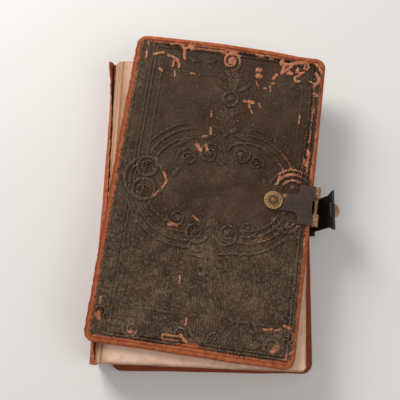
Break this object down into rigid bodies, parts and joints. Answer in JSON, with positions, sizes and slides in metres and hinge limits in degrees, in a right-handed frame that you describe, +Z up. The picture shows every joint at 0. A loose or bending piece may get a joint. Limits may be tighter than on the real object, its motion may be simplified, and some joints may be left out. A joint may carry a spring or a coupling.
{
  "type": "antique leather book",
  "caption": "Small clasped leather book with a stamped front cover that has come loose, a torn spine and a metal hasp.",
  "frame": {"origin": "middle of the back cover's underside, which lies on the table", "axes": "+X to the fore-edge and the hasp, +Y to the head of the book, +Z up through the pages"},
  "size_m": [0.1169, 0.1619, 0.0243],
  "materials": {
    "stamped_leather": "scuffed, blind stamped, with red-brown worn edges and rubbed orange high spots",
    "dark_leather": "plain, scuffed, red-brown at the edges",
    "torn_leather": "dry, torn and rubbed to red-brown",
    "card": "grey-brown millboard",
    "endpaper": "aged plain paper",
    "pages": "aged cream leaves with darkened edges",
    "lining_paper": "brown glued lining paper",
    "brass": "dull, tarnished, bright on the high spots",
    "dark_brass": "dark brown tarnish, bright at the edges",
    "black_iron": "black, satin, worn bright at the edges"
  },
  "bodies": {
    "back_cover": {"back_board": "card", "back_pastedown": "endpaper", "back_cover_leather": "dark_leather", "hasp_hinge_plate": "black_iron", "hasp_plate_rivets": "brass", "hasp_hinge_pin": "black_iron"},
    "hasp": {"hasp": "black_iron", "hasp_thumb_lip": "brass"},
    "text_block": {"page_block": "pages", "spine_lining": "lining_paper", "spine_leather": "torn_leather", "front_board": "card", "front_pastedown": "endpaper", "front_cover_leather": "stamped_leather", "catch_plate": "dark_brass", "catch_bar": "dark_brass", "catch_rosette": "brass", "catch_rivets": "brass"}
  },
  "joints": [
    {"name": "back_cover_joint", "type": "hinge", "parent": "back_cover", "child": "text_block", "pos_m": [-0.0526, 0, 0.0012], "axis": [0, -1, 0], "range_deg": [0, 70]},
    {"name": "hasp_hinge", "type": "hinge", "parent": "back_cover", "child": "hasp", "pos_m": [0.0489, 0, 0.0016], "axis": [0, -1, 0], "range_deg": [-60, 16]}
  ]
}
